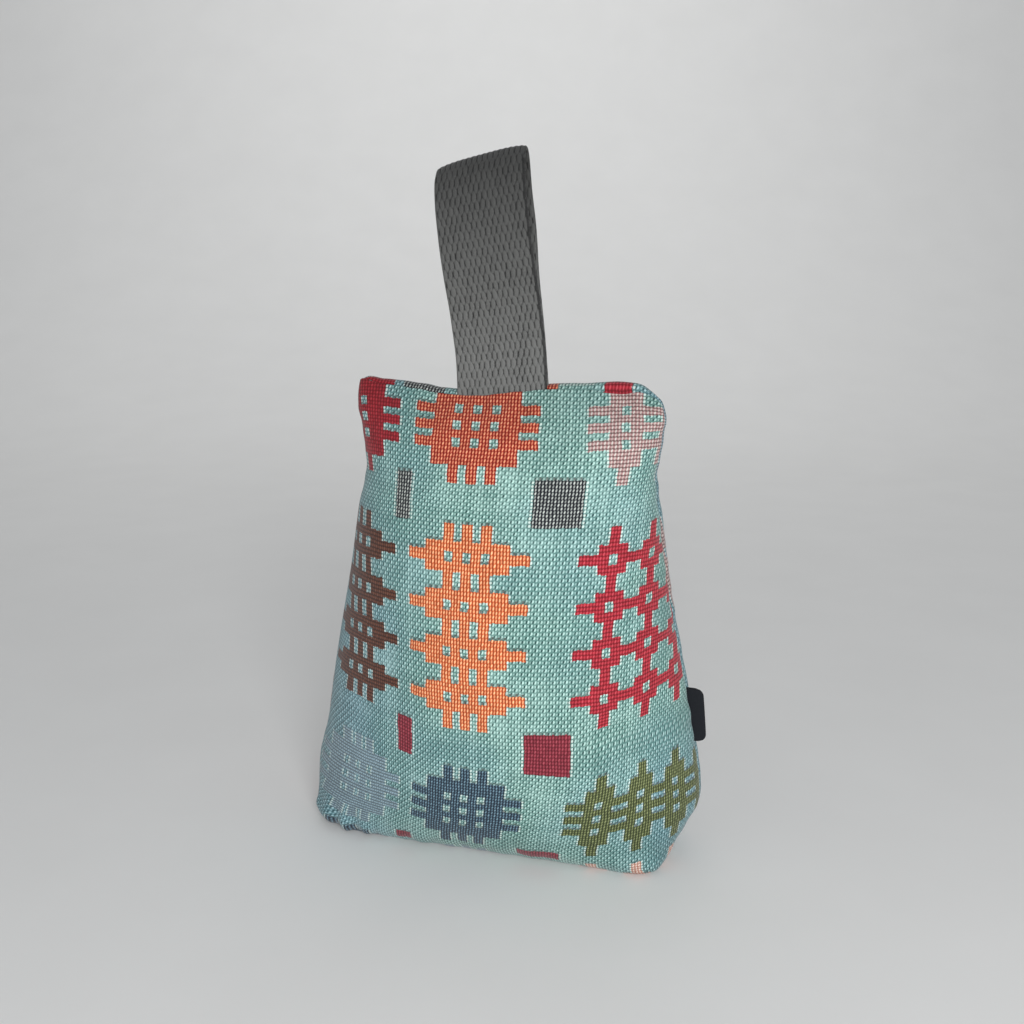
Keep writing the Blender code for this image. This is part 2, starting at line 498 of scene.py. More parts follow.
def dress(points, lengths, outward):
    """Sinks the seams into a grid of cloth and gives it its small puckers and swells."""
    normal = normals_of(points) * outward
    x, y, z = np.moveaxis(points, -1, 0)
    from_side = lengths[:, -1:] - abs(lengths)
    side = -SIDE_SEAM * bump(from_side, 0, 1.5)
    pucker = SIDE_PUCKER * waves(3, z / 7, from_side * 0) * bump(from_side, 3, 5)
    low = BASE_WAVES * waves(5, lengths / 11, z * 0) * bump(z, 6, 8) * fade(from_side, 0, 12)
    gather = np.sin(x * (2 * math.pi / GATHER_STEP)) * bump(x, -60, 20) * bump(z, 2, 9)
    low = low + BASE_GATHER * gather
    high = TOP_WAVES * waves(7, lengths / 8, z * 0) * bump(z, 190, 7)
    swell = SWELL * waves(11, x / 60, z / 70, y / 90) * fade(z, 2, 30) * fade(-z, -185, -150)
    inside = fade(z, 0.5, 6)
    move = (side + pucker + high + swell) * inside + low * fade(z, 0.2, 2)
    return points + normal * move[..., None]


def climb(grid):
    """How far each ring is above the first, measured up the middle of the cloth."""
    steps = np.linalg.norm(np.diff(grid[:, COLUMNS // 2], axis=0), axis=1)
    return np.concatenate([[0], np.cumsum(steps)])[:, None]


def lay_cloth(down, run):
    """The pattern's column and row at places down from the seam and right of the middle."""
    down, run = np.broadcast_arrays(down, run)
    low = fade(down, 40, 205) * (1 - 0.75 * fade(down, 203, 218))
    up = CORNER_PULL * low * np.clip(run - CORNER_START, 0, None)
    for pull, begins, full, middle, half in CLOTH_PULLS:
        up = up + pull * fade(run, begins, full) * bump(down, middle, half)
    for sag, centre, wide, middle, half in CLOTH_SAGS:
        up = up - sag * bump(run, centre, wide) * bump(down, middle, half)
    left = CORNER_DRAG * fade(run, 56, 90) * bump(down, 156, 22)
    left = left - HANDLE_DRAG * fade(-down, -11, 1) * bump(run, -40, 26)
    left = left + LEFT_SPREAD * fade(down, 118, 145) * np.clip(-run - LEFT_SPREAD_START, 0, None)
    left = left - RIGHT_SPREAD * np.clip(run - RIGHT_SPREAD_START, 0, None)
    down, run = down + up, run + left
    row, middle, cell = smooth(CLOTH_LAY, down.ravel()).T.reshape(3, *down.shape)
    return LAY_COLUMN + (run - middle) / cell, row


def bag_grids():
    """The parts of the bag as grids of points with their cloth places, across and down."""
    sizes = bpy.context.scene.doorstop_sizes
    width, height = sizes.cell_width / MM, sizes.cell_height / MM
    half_width, front, front_z, back, back_z, side_z, square, shift, lean = section_rows()
    fore, fore_run = half_ring(half_width, front, side_z, front_z, square, shift, lean, -1)
    aft, aft_run = half_ring(half_width, back, side_z, back_z, square, shift, lean, 1)
    seam_row = BODY_ROWS + round(CREST_ROWS * SEAM_PLACE / 5) - 1
    fore_drop, aft_drop = top_drop(fore), top_drop(aft)
    over = fade(np.arange(len(fore)), seam_row, seam_row + 5)[:, None]

    # The pattern is laid on the front from the seam down, and goes on under the base and up
    # the back to the crest.
    fore_climb, aft_climb = climb(fore), climb(aft)
    fore_across, front_down = lay_cloth(fore_climb[seam_row] - fore_climb + fore_drop, fore_run)
    aft_across = LAY_COLUMN + BACK_COLUMNS + aft_run / width
    base_depth = (front[0] + back[0]) / height
    front_edge = front_down[0, COLUMNS // 2]
    back_down = front_edge + base_depth + (aft_climb - aft_drop) / height
    over_top = fore_climb[-1] - fore_climb + 2 * front[-1]
    crest_down = back_down[-1].max() + over_top / height

    mix = np.linspace(0, 1, BASE_ROWS)[:, None]
    base = fore[0] * (1 - mix[..., None]) + aft[0] * mix[..., None]
    base_across = fore_across[0] * (1 - mix) + aft_across[0] * mix
    base_down = front_edge + base_depth * mix
    fore, base = stand(fore), stand(base)
    fore[..., 2] += over * ear_lift(fore) - fore_drop
    aft[..., 2] += ear_lift(aft) - aft_drop
    fore = dress(fore, fore_run, 1)
    aft = dress(aft, aft_run, -1)
    mix = np.linspace(0, 1, 4)[:, None]
    lid = fore[-1] * (1 - mix[..., None]) + aft[-1] * mix[..., None]
    lid_down = back_down[-1].max() + (1 - mix) * 2 * front[-1] / height
    above = slice(seam_row, None)
    below = slice(0, seam_row + 1)
    return {
        "front": (fore[below], fore_across[below], front_down[below]),
        "crest": (fore[above], fore_across[above], crest_down[above]),
        "base": (base[::-1], base_across[::-1], base_down[::-1]),
        "back": (aft[:, ::-1], aft_across[:, ::-1], back_down[:, ::-1]),
        "lid": (lid, np.broadcast_to(fore_across[-1], lid.shape[:2]), lid_down),
    }


# Bands of the back cloth that show above the top seam, from and to across the cloth.
CREST_BANDS = (
    (-40.0, -5.2, "cherry"),
    (-4.2, 0.4, "black"),
    (6.0, 12.6, "flame"),
    (17.3, 20.0, "crimson"),
)


def colour_bag(piece, solid_faces):
    """Gives each face the yarns of its block, which the cloth's material then weaves."""
    mesh = piece.data
    count = len(mesh.loops)
    places = np.zeros(count * 2, np.float32)
    mesh.uv_layers["cloth"].uv.foreach_get("vector", places)
    places = places.reshape(-1, 4, 2).mean(1)
    index = block_yarns(places[:, 0], places[:, 1])
    # On the crest a face is all ground or, in a band, all coloured yarn.
    solid = np.where(solid_faces, -1.0, 0.0)
    for low, high, yarn in CREST_BANDS:
        band = solid_faces & (places[:, 0] > low) & (places[:, 0] < high)
        index = np.where(band, YARN_NAMES.index(yarn), index)
        solid = np.where(band, 1.0, solid)
    table = np.array(list(YARNS.values()), float)
    main = linear(table[:, 0:3])[index]
    fleck = linear(table[:, 3:6])[index]
    weave = table[:, 6:9][index]
    for name, rgb, alpha in (
        ("yarn", main, np.ones(len(index))),
        ("fleck", fleck, np.ones(len(index))),
        ("weave", weave, solid),
    ):
        values = np.concatenate([rgb, alpha[:, None]], 1).repeat(4, axis=0)
        layer = mesh.color_attributes.new(name, "FLOAT_COLOR", "CORNER")
        layer.data.foreach_set("color", values.astype(np.float32).ravel())


def make_bag():
    """Joins the grids into one closed bag, with the yarns on its faces."""
    points, faces, places, top = [], [], [], []
    start = 0
    for name, (grid, across, down) in bag_grids().items():
        across, down = np.broadcast_arrays(across, down)
        rows, columns = grid.shape[:2]
        points.append(grid.reshape(-1, 3))
        places.append(np.stack([across, down], -1).reshape(-1, 2))
        quads = grid_faces(rows, columns, start)
        faces.append(quads)
        top.append(np.full(len(quads), name in ("crest", "lid")))
        start += rows * columns
    points, faces, places = [np.concatenate(parts) for parts in (points, faces, places)]
    piece = add_piece("bag_cloth", points * MM, faces, places)
    colour_bag(piece, np.concatenate(top))
    weld(piece)
    return piece


# ---- Shader maths ----


class Number:
    """A value that changes over a surface. Python's operators add Math nodes to it."""

    def __init__(self, shader, socket):
        self.shader = shader
        self.socket = socket

    def maths(self, operation, *values, clamp=False):
        settings = {"operation": operation, "use_clamp": clamp}
        return self.shader.add("ShaderNodeMath", settings, dict(enumerate(values)))

    def __add__(self, other):
        return self.maths("ADD", self, other)

    def __sub__(self, other):
        return self.maths("SUBTRACT", self, other)

    def __mul__(self, other):
        return self.maths("MULTIPLY", self, other)

    def __truediv__(self, other):
        return self.maths("DIVIDE", self, other)

    def __mod__(self, other):
        return self.maths("FLOORED_MODULO", self, other)

    def __lt__(self, other):
        return self.maths("LESS_THAN", self, other)

    def __gt__(self, other):
        return self.maths("GREATER_THAN", self, other)

    def __rsub__(self, other):
        return self.maths("SUBTRACT", other, self)

    def __abs__(self):
        return self.maths("ABSOLUTE", self)

    __radd__ = __add__
    __rmul__ = __mul__

    def floor(self):
        return self.maths("FLOOR", self)

    def clamp(self):
        return self.maths("ADD", self, 0.0, clamp=True)

    def cosine(self):
        return self.maths("COSINE", self)

    def between(self, low, high):
        return (self > low) * (self < high)


class Shader:
    """A material's nodes, each made by one method."""

    def __init__(self, name):
        self.material = bpy.data.materials.new(name)
        self.material.use_nodes = True
        self.tree = self.material.node_tree
        self.surface = self.tree.nodes["Principled BSDF"]

    def add(self, kind, settings=None, inputs=None, output=0):
        """Adds a node with its settings, then its sockets' values or links."""
        node = self.tree.nodes.new(kind)
        for key, value in (settings or {}).items():
            setattr(node, key, value)
        for key, value in (inputs or {}).items():
            if isinstance(value, Number):
                self.tree.links.new(value.socket, node.inputs[key])
            else:
                node.inputs[key].default_value = value
        return Number(self, node.outputs[output])

    def mix(self, factor, first, second, blend="MIX"):
        """Mixes two colours, each a link or three numbers."""
        as_colour = [v if isinstance(v, Number) else (*v, 1.0) for v in (first, second)]
        settings = {"data_type": "RGBA", "blend_type": blend, "clamp_factor": True}
        # A Mix node's colours are its sockets 6 and 7, and its output 2.
        return self.add("ShaderNodeMix", settings, {0: factor, 6: as_colour[0], 7: as_colour[1]}, 2)

    def grey(self, value):
        """A number as a colour of three equal parts."""
        return self.add("ShaderNodeCombineColor", None, {0: value, 1: value, 2: value})

    def noise(self, vector, scale, detail=2.0):
        inputs = {"Vector": vector, "Scale": scale, "Detail": detail}
        return self.add("ShaderNodeTexNoise", {"noise_dimensions": "3D"}, inputs)

    def place(self, map_name):
        """The two numbers of a UV map."""
        vector = self.add("ShaderNodeUVMap", {"uv_map": map_name})
        return [self.add("ShaderNodeSeparateXYZ", None, {0: vector}, k) for k in (0, 1)]

    def point(self, x, y, z=0.0):
        return self.add("ShaderNodeCombineXYZ", None, {0: x, 1: y, 2: z})

    def random(self, x, y):
        """A number from 0 to 1 for each whole place."""
        vector = self.point(x, y)
        return self.add("ShaderNodeTexWhiteNoise", {"noise_dimensions": "2D"}, {"Vector": vector})

    def attribute(self, name, output="Color"):
        settings = {"attribute_type": "GEOMETRY", "attribute_name": name}
        return self.add("ShaderNodeAttribute", settings, None, output)

    def set(self, **sockets):
        for name, value in sockets.items():
            socket = self.surface.inputs[name.replace("_", " ")]
            if isinstance(value, Number):
                self.tree.links.new(value.socket, socket)
            else:
                socket.default_value = value

    def relief(self, height, strength, distance):
        inputs = {"Height": height, "Strength": strength, "Distance": distance}
        self.set(Normal=self.add("ShaderNodeBump", None, inputs))


# Places on the cloth and in one crossing, and chances from 0 to 1 for each end, pick and dot.
PARTS = "raw_across raw_down across down u v slant warp_up end_luck pick_luck luck"
Weave = namedtuple("Weave", PARTS)
# The ground's yarns in its bluer patches, the pale crossings beside a block and the yarn ends
# above it.
BLUER_PALE = (0.36, 0.55, 0.6)
BLUER_MIDDLE = (0.075, 0.175, 0.2)
BLUER_DARK = (0.022, 0.065, 0.08)
HALO = (0.78, 0.85, 0.78)
STUB = (0.06, 0.045, 0.04)
# The colour of the painted glints on the webbing's glossy fibres.
PAINTED_GLINT = (0.28, 0.275, 0.26)


def block_masks(place, hole, early):
    """Where one way of the cloth is in a block, its body, lines and holes, and in a square.

    A block's body starts 2 cells in. A bar block's lines lie in its middle, from cell 4 to
    cell 9, and a chain block has links of 3 cells in every 5.
    """
    more = LINE_SPREAD
    second = place.between(SECOND_BLOCK - 1, SECOND_BLOCK + BAR_BLOCK + 1)
    bar = place - SECOND_BLOCK * second
    in_bar = bar.between(-more, BAR_BLOCK + more)
    bar_body = bar.between(2 - more, BAR_BLOCK - 2 + more)
    bar_middle = bar.between(4 - more, 9 + more)
    chain = place - CHAIN_START
    in_chain = chain.between(-more, CHAIN_BLOCK + more)
    core = chain.between(2 - more, CHAIN_BLOCK - 2 + more)
    step = (chain - 2 + more) % 5
    body = bar_body + core * (step < 3 + 2 * more)
    lines = []
    for wider in (more, hole):
        bar_line = bar_middle * (((bar + wider) % 2) < 1 + 2 * wider)
        lines.append(bar_line + core * step.between(1 + more - wider, 2 + more + wider))
    gap = 1 - in_bar - in_chain
    square = gap + place.between(SECOND_BLOCK + BAR_BLOCK - early, CHAIN_START)
    return in_bar + in_chain, body, *lines, square


def motif_mask(across, down):
    """1 where the coloured yarns are on top."""
    x, y = (across - ACROSS_START) % REPEAT, (down - DOWN_START) % REPEAT
    block_x, body_x, line_x, hole_x, square_x = block_masks(x, HOLE_ACROSS, 0.0)
    block_y, body_y, line_y, hole_y, square_y = block_masks(y, HOLE_DOWN, SQUARE_EARLY)
    body = body_x * body_y * (1 - hole_x * hole_y)
    prongs = line_x * (1 - body_y) + line_y * (1 - body_x)
    return (body + block_x * block_y * prongs + square_x * square_y.clamp()).clamp()


def crossings(s):
    """Where each place lies in its crossing of an end and a pick, and each yarn's luck."""
    raw_across, raw_down = s.place("cloth")
    drift = s.noise(s.point(raw_across, raw_down), 0.35, 2.0)
    sag = s.noise(s.point(raw_down, raw_across, 7.0), 0.3, 2.0)
    across = raw_across + (drift - 0.5) * 0.3
    down = raw_down + (sag - 0.5) * 0.3
    ends, picks = across * ENDS_PER_CELL, down * PICKS_PER_CELL
    end, pick = ends.floor(), picks.floor()
    u, v = ends - end - 0.5, picks - pick - 0.5
    lucks = s.random(end, 3.0), s.random(7.0, pick), s.random(end, pick)
    # One crossing in two shows the warp and the others show the weft.
    warp_up = (end + pick) % 2
    return Weave(raw_across, raw_down, across, down, u, v, u + v * 0.25, warp_up, *lucks)


def dot_height(w):
    """How high the yarn on top is: a long slanting dot of warp or a flat one of weft."""
    long_dot = (1.45 - w.slant * w.slant * 8 - w.v * w.v * 6).clamp()
    flat_dot = (1.15 - w.u * w.u * 5.5 - w.v * w.v * 8).clamp() * 0.6
    return flat_dot + (long_dot - flat_dot) * w.warp_up


def ground_colour(s, w, dot):
    """The plain cloth: pale dots over darker yarn, in patches that are bluer or greener."""
    colours = bpy.context.scene.doorstop_colours
    patches = s.noise(s.point(w.raw_across, w.raw_down, 3.0), 0.16, 3.0)
    clouds = s.noise(s.point(w.raw_down, w.raw_across, 9.0), 0.07, 2.0)
    # It is bluer in clouds, towards the left side and at the low right corner.
    low_right = ((w.raw_down - 18) * 0.07).clamp() * ((w.raw_across - 12) * 0.06).clamp()
    far = ((3 - w.raw_across) * 0.06).clamp() + low_right
    blue = (far + (clouds - 0.5) * 1.6).clamp()
    pale = s.mix(blue, tuple(colours.ground_pale), BLUER_PALE)
    middle = s.mix(blue, tuple(colours.ground_middle), BLUER_MIDDLE)
    dark = s.mix(blue, tuple(colours.ground_dark), BLUER_DARK)
    lift = (patches - 0.5) * 0.9 + (w.end_luck - 0.5) * 0.2 + (w.pick_luck - 0.5) * 0.12
    ground = s.mix((dot * (0.75 + w.luck * 0.4) + lift).clamp(), middle, pale)
    # A gap shows beside each warp crossing.
    beside_warp = w.u - 0.5 + w.warp_up + w.v * 0.35
    gap = (1.45 - beside_warp * beside_warp * 11 - w.v * w.v * 6).clamp() * (0.7 + w.luck * 0.5)
    return s.mix((gap * (1 - lift)).clamp(), ground, dark)


def edged_ground(s, w, ground, edge_across, edge_down, level):
    """The ground with pale crossings beside each block and dark yarn ends above it."""
    beside = motif_mask(edge_across + 0.3, edge_down) + motif_mask(edge_across - 0.3, edge_down)
    above = motif_mask(edge_across, edge_down + 0.34)
    halo = beside.clamp() * (1.4 - w.u * w.u * 7 - w.v * w.v * 7).clamp() * 0.55
    ground = s.mix(halo, ground, HALO)
    stub = above * (1 - w.warp_up * 0.5) * (1.35 - abs(w.u) * 2) * (0.75 - level * 0.65)
    return s.mix(stub.clamp(), ground, STUB)


def block_colour(s, w, upright, level, fleck_amount):
    """The coloured yarns: ribs along the ends or the picks, with flecks of a second yarn."""
    shade = 1.12 - upright * (abs(w.u) * 2) - level * (abs(w.v) * 2) * 0.9
    shade = shade * (0.8 + w.luck * 0.28 + (w.end_luck + w.pick_luck) * 0.06)
    main = s.mix(1.0, s.attribute("yarn"), s.grey(shade.clamp()), "MULTIPLY")
    turn = 0.62 + w.warp_up * 0.38 + (w.luck - 0.5) * 0.4
    speck = (1.35 - w.slant * w.slant * 15 - w.v * w.v * 5).clamp() * turn * fleck_amount
    return s.mix(speck.clamp(), main, s.attribute("fleck"))


def cloth_material():
    """The tapestry cloth: its ground, its blocks, its wear and painted shade near the top seam and
    the floor.
    """
    s = Shader("tapestry_cloth")
    w = crossings(s)
    dot = dot_height(w)
    # How strong the upright ribs, the level ribs and the flecks of a block are.
    weave = s.attribute("weave")
    ribs = [s.add("ShaderNodeSeparateColor", None, {0: weave}, k) for k in (0, 1, 2)]
    # The colours change where a yarn turns under, so each edge is a little scalloped.
    edge_down = w.down + (0.25 - w.u * w.u * 2 + (w.end_luck - 0.5)) * 0.13
    edge_across = w.across + (0.25 - w.v * w.v * 2 + (w.pick_luck - 0.5)) * 0.09
    motif = (motif_mask(edge_across, edge_down) + s.attribute("weave", "Alpha")).clamp()
    ground = edged_ground(s, w, ground_colour(s, w, dot), edge_across, edge_down, ribs[1])
    colour = s.mix(motif, ground, block_colour(s, w, *ribs))
    wear = s.noise(s.point(w.raw_across, w.raw_down, 11.0), 0.6, 3.0)
    # Painted shade: the cloth is darker near the top seam and near the floor.
    painted_top_shade = ((-8 - w.raw_down) * 0.12).clamp() * 0.24
    painted_floor_shade = ((w.raw_down - 30) * 0.1).clamp() * 0.14
    colour = s.mix(1.0, colour, s.grey(0.84 + wear * 0.28 - painted_top_shade - painted_floor_shade), "MULTIPLY")
    s.set(Base_Color=colour, Roughness=0.82, Sheen_Weight=0.15, Sheen_Roughness=0.5)
    s.set(Specular_IOR_Level=0.25)
    s.relief(dot + w.luck * 0.15 + motif * 0.2, 0.45, 0.3 * MM)
    return s.material


# ---- Handle ----

# place, side, depth, height, tilt of the webbing: up the front, over and down the back
HANDLE_STATIONS = (
    (0, 3.0, -11.0, 191.8, 3.4),
    (1, 1.5, -9.6, 209.6, 4.2),
    (2, -0.4, -10.2, 225.3, 5.0),
    (3, -1.9, -13.0, 241.0, 6.0),
    (4, -3.6, -14.2, 256.8, 7.0),
    (5, -5.6, -13.4, 270.5, 7.8),
    (6, -6.5, -10.9, 280.4, 8.2),
    (7, -6.5, -7.0, 284.5, 8.4),
    (8, -6.5, -3.1, 280.4, 8.2),
    (9, -6.3, -0.6, 270.5, 7.8),
    (10, -5.4, 0.6, 256.8, 7.0),
    (11, -3.8, -0.8, 241.0, 6.0),
    (12, -1.2, -3.8, 225.3, 5.0),
    (13, 1.0, -6.4, 209.6, 4.2),
    (14, 3.0, -8.8, 191.8, 3.4),
)
HANDLE_LAST = HANDLE_STATIONS[-1][0]
# The webbing's ends across its width, the length of a pick and the pick at its fold.
WEBBING_ENDS = 17
WEBBING_PICK = 3.45
HANDLE_TURN = 26
# How high the ovals stand, and how many ends its edges are rounded over.
OVAL_HEIGHT = 0.38
EDGE_ROUNDING = 0.45
# The ovals lie in two sets, like bricks: where each set starts, in ends and picks.
OVAL_SETS = ((0.0, 0.0), (0.5, 1.0))
OVAL_HALF_WIDTH = 0.43
OVAL_HALF_LENGTH = 0.72
# The fold is a little higher along its middle than at its ends.
FOLD_CROWN = 1.3
# How far the webbing strays to its sides.
WEBBING_WANDER = 0.35
# Points across and along each face of the webbing, and those that measure its loop.
HANDLE_ACROSS = 103
HANDLE_ALONG = 476
LOOP_SAMPLES = 1401


def handle_frame(width):
    """Middle, sideways and outward directions at even steps along the webbing."""
    places = np.linspace(0, HANDLE_LAST, LOOP_SAMPLES)
    rough = smooth(HANDLE_STATIONS, places)
    steps = np.linalg.norm(np.diff(rough[:, :3], axis=0), axis=1)
    run = np.concatenate([[0], np.cumsum(steps)])
    steady = np.linspace(0, run[-1], HANDLE_ALONG)
    rows = smooth(HANDLE_STATIONS, np.interp(steady, run, places))
    middle = rows[:, :3]
    sideways = np.stack([np.full(len(rows), width), np.zeros(len(rows)), rows[:, 3]], 1)
    sideways /= np.linalg.norm(sideways, axis=1, keepdims=True)
    ahead = np.gradient(middle, axis=0)
    outward = np.cross(sideways, ahead)
    outward /= np.linalg.norm(outward, axis=1, keepdims=True)
    return middle, sideways, outward, steady


def webbing_relief(across, along):
    """Height of the webbing's long ovals, from 0 to 1, at places in ends and picks."""
    height = 0.0
    for side, ahead in OVAL_SETS:
        from_end = (across - side) % 1 - 0.5
        from_pick = (along - ahead) % 2 - 1
        oval = 1.1 - (from_end / OVAL_HALF_WIDTH) ** 2 - (from_pick / OVAL_HALF_LENGTH) ** 2
        height = np.maximum(height, oval)
    return np.clip(height, 0, 1) ** 0.5


def make_handle():
    """Lays the webbing's two faces along the loop and closes its cut ends."""
    sizes = bpy.context.scene.doorstop_sizes
    width, thick = sizes.webbing_width / MM, sizes.webbing_thickness / MM
    middle, sideways, outward, run = handle_frame(width)
    across = np.linspace(0, WEBBING_ENDS, HANDLE_ACROSS)
    along = run / WEBBING_PICK
    grid_across, grid_along = np.meshgrid(across, along)
    edge = np.minimum(grid_across, WEBBING_ENDS - grid_across)
    rounding = np.sqrt(np.clip(1 - (1 - np.clip(edge / EDGE_ROUNDING, 0, 1)) ** 2, 0, 1))
    relief = webbing_relief(grid_across.clip(0, WEBBING_ENDS - 1e-6), grid_along)
    wander = WEBBING_WANDER * waves(21, grid_along / 9, grid_across * 0)
    offset = (grid_across / WEBBING_ENDS - 0.5) * width + wander
    centre = middle[:, None] + sideways[:, None] * offset[..., None]
    from_fold = abs(run - run[-1] / 2)[:, None]
    inward = 1 - abs(2 * offset / width).clip(0, 1) ** 4
    centre[..., 2] += FOLD_CROWN * bump(from_fold, 0, 9) * inward
    depth = (thick / 2 - OVAL_HEIGHT + OVAL_HEIGHT * relief) * rounding
    outer = centre + outward[:, None] * depth[..., None]
    inner = centre - outward[:, None] * depth[..., None]
    points = np.concatenate([outer.reshape(-1, 3), inner.reshape(-1, 3)])
    rows, columns = len(along), len(across)
    faces = [grid_faces(rows, columns), grid_faces(rows, columns, rows * columns, flip=True)]
    cut_ends = []
    for row in (0, rows - 1):
        top = row * columns + np.arange(columns)
        low = top + rows * columns
        cut_ends.append(np.stack([top[:-1], top[1:], low[1:], low[:-1]], 1))
    place = np.tile(np.stack([grid_across, grid_along], -1).reshape(-1, 2), (2, 1))
    faces = np.concatenate(faces + cut_ends)
    piece = add_piece("webbing_handle", points * MM, faces, place, "webbing")
    weld(piece)
    return piece


def webbing_material():
    """Grey webbing of long ovals, with painted shade that darkens it and dims its painted glints
    towards the fold.
    """
    colours = bpy.context.scene.doorstop_colours
    s = Shader("grey_webbing")
    across, along = s.place("webbing")
    sway = (s.noise(s.point(across, along, 5.0), 0.8, 2.0) - 0.5) * 0.5
    ovals = []
    for side, ahead in OVAL_SETS:
        ends, picks = across + sway - side, along + sway - ahead
        from_pick = picks % 2 - 1
        luck = s.random(ends.floor(), (picks * 0.5).floor() + 40 * ahead)
        slant = ends % 1 - 0.5 + from_pick * (luck - 0.5) * 0.3
        round_off = slant * slant / OVAL_HALF_WIDTH**2 + from_pick * from_pick / OVAL_HALF_LENGTH**2
        ovals.append(((1.25 - round_off).clamp(), luck))
    (first, first_luck), (second, second_luck) = ovals
    oval = first.maths("MAXIMUM", first, second)
    luck = first_luck + (second_luck - first_luck) * (second > first)
    fibres = s.noise(s.point(across * 7, along * 2.0), 2.6, 3.0)
    blotches = s.noise(s.point(across, along, 2.0), 0.4, 3.0)
    tone = 0.08 + (oval * 1.35).clamp() * 0.95 + (luck - 0.5) * 0.3 + (blotches - 0.5) * 0.4
    tone = tone + (fibres - 0.5) * 1.2
    # Painted shadow: the front strap's right edge is darkened where it lies over the rear one.
    painted_edge_shadow = (across > WEBBING_ENDS - 0.42) * (along < HANDLE_TURN)
    tone = tone * (1 - painted_edge_shadow * 0.8)
    place = s.add("ShaderNodeTexCoord", None, None, "Object")
    height = s.add("ShaderNodeSeparateXYZ", None, {0: place}, "Z")
    # Painted shade: the webbing is darkened from 205 mm up towards the fold.
    painted_fold_shade = 1 - ((height - 0.205) * 13).clamp() * 0.71
    base = s.mix(1.0, tuple(colours.webbing), s.grey(tone.clamp() * painted_fold_shade), "MULTIPLY")
    # Painted highlight: glints on the fibres at the tops of the ovals.
    painted_glint = ((fibres - 0.58) * 5).clamp() * oval.clamp() * painted_fold_shade
    base = s.mix(painted_glint * 0.6, base, PAINTED_GLINT)
    s.set(Base_Color=base, Roughness=0.75, Sheen_Weight=0.15, Specular_IOR_Level=0.3)
    s.relief(fibres * 0.8 + oval.clamp(), 0.5, 0.25 * MM)
    return s.material


# ---- Label ----

LABEL_LOW = 50.5
LABEL_HIGH = 73.0
LABEL_ROWS = 45
LABEL_STEPS = 40
LABEL_CORNER = 3.2
LABEL_TAPE = 0.32
LABEL_FOLD = 0.6
# Half the space between its layers, how much further they part halfway along, and their wave.
LABEL_GAP = 0.42
LABEL_BULGE = 0.25
LABEL_WAVE = 0.5
# How far the tape goes into the seam. The seam slopes and the label hangs straight down, so it
# stands out less at its foot, and its top is longer than its foot.
LABEL_INSIDE = 2.5
LABEL_FOOT = 1.1
LABEL_SLANT = 2.6


def make_label():
    """Folds a tape round its outer end and closes the rims between its two faces."""
    sizes = bpy.context.scene.doorstop_sizes
    out = sizes.label_out / MM
    heights = np.linspace(LABEL_LOW, LABEL_HIGH, LABEL_ROWS)
    seam = smooth(BAG_SECTIONS, heights)
    inner = seam[:, 4] + seam[:, 0] - LABEL_INSIDE
    from_end = np.minimum(heights - LABEL_LOW, LABEL_HIGH - heights)
    into_corner = np.clip(LABEL_CORNER - from_end, 0, None)
    corner = LABEL_CORNER - np.sqrt(np.clip(LABEL_CORNER**2 - into_corner**2, 0, None))
    up = (heights - LABEL_LOW) / (LABEL_HIGH - LABEL_LOW)
    reach = out + LABEL_INSIDE - LABEL_FOOT + LABEL_SLANT * up - corner * 0.85
    # Round the fold: out along the front, half a turn at the fold, back along the rear.
    t = np.linspace(0, 1, LABEL_STEPS)
    turn = np.clip((t - 0.4) / 0.2, 0, 1) * math.pi
    straight = np.where(t < 0.5, np.clip(t / 0.4, 0, 1), np.clip((1 - t) / 0.4, 0, 1))
    gap = LABEL_GAP + LABEL_BULGE * np.sin(math.pi * straight)
    shells = []
    for layer in (0.0, LABEL_TAPE):
        x = inner[:, None] + (reach[:, None] - LABEL_FOLD) * straight
        x = x + (LABEL_FOLD + layer) * np.sin(turn)
        y = LABEL_WAVE * np.sin((heights[:, None] - 50) / 9) - (gap + layer) * np.cos(turn)
        z = np.broadcast_to(heights[:, None], x.shape)
        shells.append(np.stack([x, y, z], -1))
    rows, columns = shells[0].shape[:2]
    points = np.concatenate([shell.reshape(-1, 3) for shell in shells])
    outer_first = rows * columns
    faces = [grid_faces(rows, columns, outer_first), grid_faces(rows, columns, flip=True)]
    at = np.arange(rows * columns).reshape(rows, columns)
    for rim in (at[0], at[-1], at[:, 0], at[:, -1]):
        outer = rim + outer_first
        faces.append(np.stack([rim[:-1], rim[1:], outer[1:], outer[:-1]], 1))
    place = np.stack(np.meshgrid(np.linspace(0, 2 * out, columns), heights - LABEL_LOW), -1)
    place = np.tile(place.reshape(-1, 2), (2, 1))
    piece = add_piece("side_label", points * MM, np.concatenate(faces), place, "tape")
    weld(piece)
    return piece


def label_material():
    """Charcoal tape with fine ribs both ways."""
    colours = bpy.context.scene.doorstop_colours
    s = Shader("label_tape")
    across, along = s.place("tape")
    rib = (along * (2 * math.pi / 0.55)).cosine() * 0.5 + 0.5
    fine = (across * (2 * math.pi / 0.4)).cosine() * 0.5 + 0.5
    tone = 0.75 + rib * 0.35 + fine * 0.15 + s.noise(s.point(across, along), 1.5) * 0.3
    s.set(Base_Color=s.mix(1.0, tuple(colours.label), s.grey(tone), "MULTIPLY"))
    s.set(Roughness=0.85, Sheen_Weight=0.02, Specular_IOR_Level=0.15)
    s.relief(rib + fine * 0.4, 0.4, 0.1 * MM)
    return s.material


# ---- Stage ----

CAMERA_TURN = 16.69
CAMERA_DISTANCE = 473.3
CAMERA_SIDEWAYS = 3.5
CAMERA_HEIGHT = 243.3
CAMERA_PITCH = 12.0
LENS = 40.43
